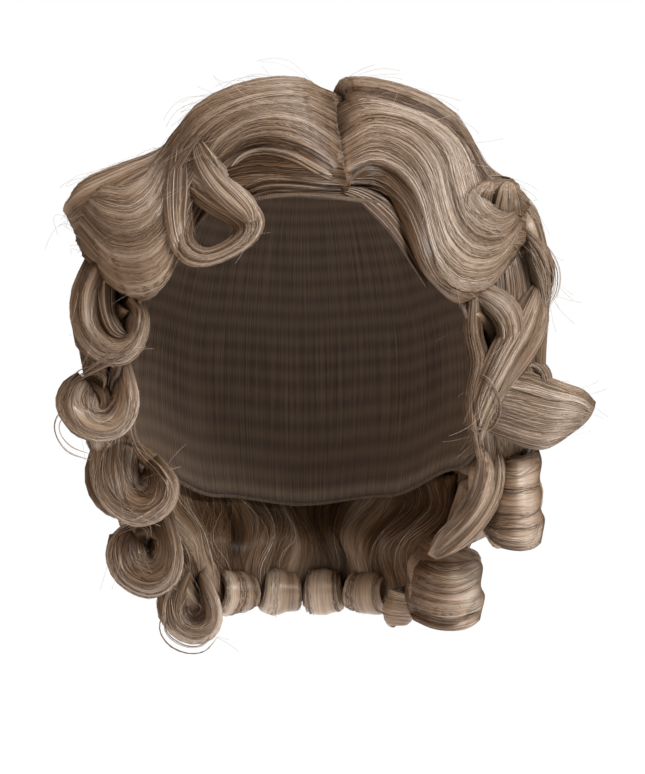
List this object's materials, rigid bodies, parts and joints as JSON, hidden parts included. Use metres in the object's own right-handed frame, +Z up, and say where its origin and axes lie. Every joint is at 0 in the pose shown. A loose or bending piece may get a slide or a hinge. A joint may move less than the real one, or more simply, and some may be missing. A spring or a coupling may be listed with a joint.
{
  "type": "finger wave wig",
  "caption": "Short wig: a fitted cap with hair set from a side part in flat S waves, a flat curl on the forehead and rolled curls at the sides and nape.",
  "frame": {"origin": "where the crown of the wearer's head meets the inside of the cap", "axes": "+Z up, the face opening towards -Y, +X to the viewer's right as the wig is seen from the front"},
  "size_m": [0.2124, 0.2005, 0.2238],
  "materials": {
    "hair_light": "satin",
    "hair_mid": "satin",
    "hair_shade": "satin",
    "cap": "matte"
  },
  "bodies": {
    "root": {"back_curl_1": "hair_mid", "back_curl_2": "hair_mid", "back_curl_3": "hair_mid", "back_curl_4": "hair_mid", "back_curl_5": "hair_mid", "barrel_lower_right": "hair_light", "barrel_upper_right": "hair_light", "cheek_curl_left": "hair_light", "crest_curl_right": "hair_light", "ear_curl_left": "hair_light", "ear_lock_right": "hair_mid", "fall_left": "hair_mid", "fall_right": "hair_mid", "forehead_curl": "hair_light", "hairline_front": "hair_shade", "low_curl_left": "hair_light", "nape_curl_1": "hair_mid", "nape_curl_2": "hair_mid", "nape_curl_3": "hair_mid", "nape_curl_4": "hair_mid", "nape_curl_left": "hair_light", "nape_lock_right": "hair_light", "nest_curl_right": "hair_light", "side_left": "hair_mid", "side_lock_right": "hair_mid", "side_right": "hair_mid", "temple_curl_left": "hair_light", "temple_swirl_right": "hair_light", "tuft_right": "hair_mid", "wave_back": "hair_mid", "wave_left": "hair_light", "wave_right": "hair_light", "wig_cap": "cap", "wing_curl_right": "hair_light"}
  },
  "joints": []
}
